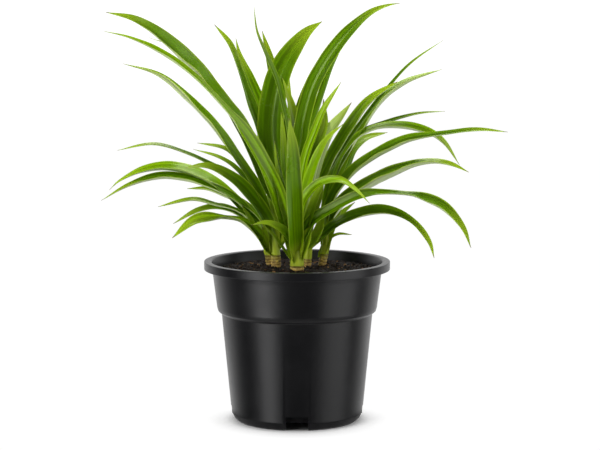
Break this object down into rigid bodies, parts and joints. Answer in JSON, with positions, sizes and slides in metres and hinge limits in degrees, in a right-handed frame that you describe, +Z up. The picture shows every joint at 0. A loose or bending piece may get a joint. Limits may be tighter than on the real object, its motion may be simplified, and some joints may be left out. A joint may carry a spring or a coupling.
{
  "type": "potted dracaena",
  "caption": "Leafy foliage plant with long arching blades on short bare canes, standing in soil in a round tapering nursery pot with a flat rim.",
  "frame": {"origin": "on the pot's axis, on the surface that the pot stands on", "axes": "+Z up along the pot's axis, +X to the right, -Y to the front"},
  "size_m": [0.4177, 0.235, 0.4257],
  "materials": {
    "pot_plastic": "fine satin texture, black",
    "soil": "crumbly, dark brown",
    "cane": "dry, ringed, tan",
    "leaf": "glossy, fresh green with fine veins"
  },
  "bodies": {
    "root": {"pot": "pot_plastic", "soil": "soil", "cane_front": "cane", "cane_left": "cane", "cane_left_back": "cane", "cane_right_back": "cane", "cane_right": "cane", "leaves_front": "leaf", "leaves_left": "leaf", "leaves_left_back": "leaf", "leaves_right_back": "leaf", "leaves_right": "leaf"}
  },
  "joints": []
}
